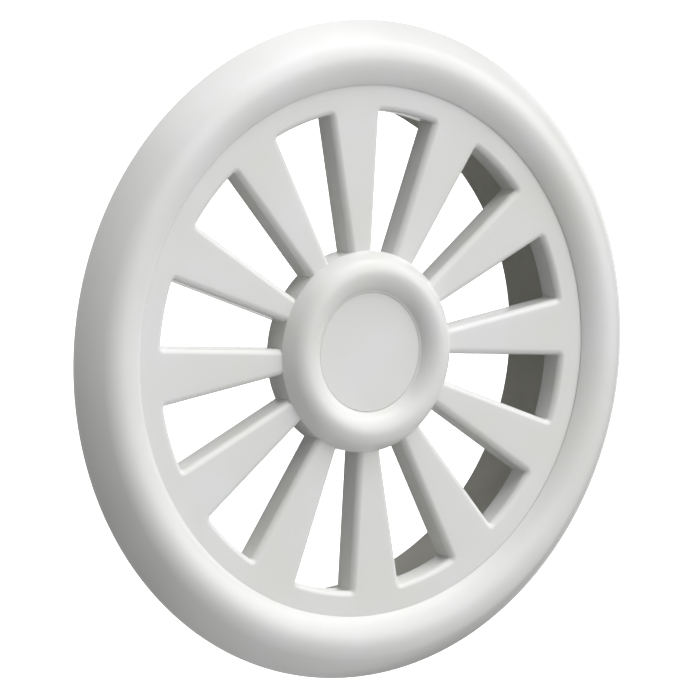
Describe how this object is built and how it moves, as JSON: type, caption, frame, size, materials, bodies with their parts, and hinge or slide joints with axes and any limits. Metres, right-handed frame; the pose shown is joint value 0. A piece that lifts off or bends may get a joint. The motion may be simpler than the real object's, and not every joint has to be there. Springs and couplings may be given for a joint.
{
  "type": "ceiling air diffuser",
  "caption": "Round air diffuser: a spoked grille with a hub and a rounded rim, turned and locked into a collar frame that enters a duct.",
  "frame": {"origin": "centre of the back of the flange's gasket, the plane that meets the ceiling or wall", "axes": "+Y along the duct, away from the room, so -Y is the face's outward normal; +Z is the top spoke's direction, as stored upright; +X to the right seen from the room"},
  "size_m": [0.1248, 0.0237, 0.1248],
  "materials": {
    "face_plastic": "glossy white moulded plastic",
    "frame_plastic": "white moulded plastic, less polished",
    "foam": "closed-cell foam",
    "rubber_seal": "matt rubber",
    "screw_steel": "bright zinc plate"
  },
  "bodies": {
    "frame": {"mounting_frame": "frame_plastic", "ceiling_gasket": "foam", "duct_seal": "rubber_seal"},
    "face": {"grille": "face_plastic", "trim_ring": "face_plastic", "hub_ring": "face_plastic", "hub_screws": "screw_steel", "hub_cap": "face_plastic"}
  },
  "joints": [
    {"name": "face_turn", "type": "hinge", "parent": "frame", "child": "face", "pos_m": [0, 0, 0], "axis": [0, -1, 0], "range_deg": [0, 20]}
  ]
}
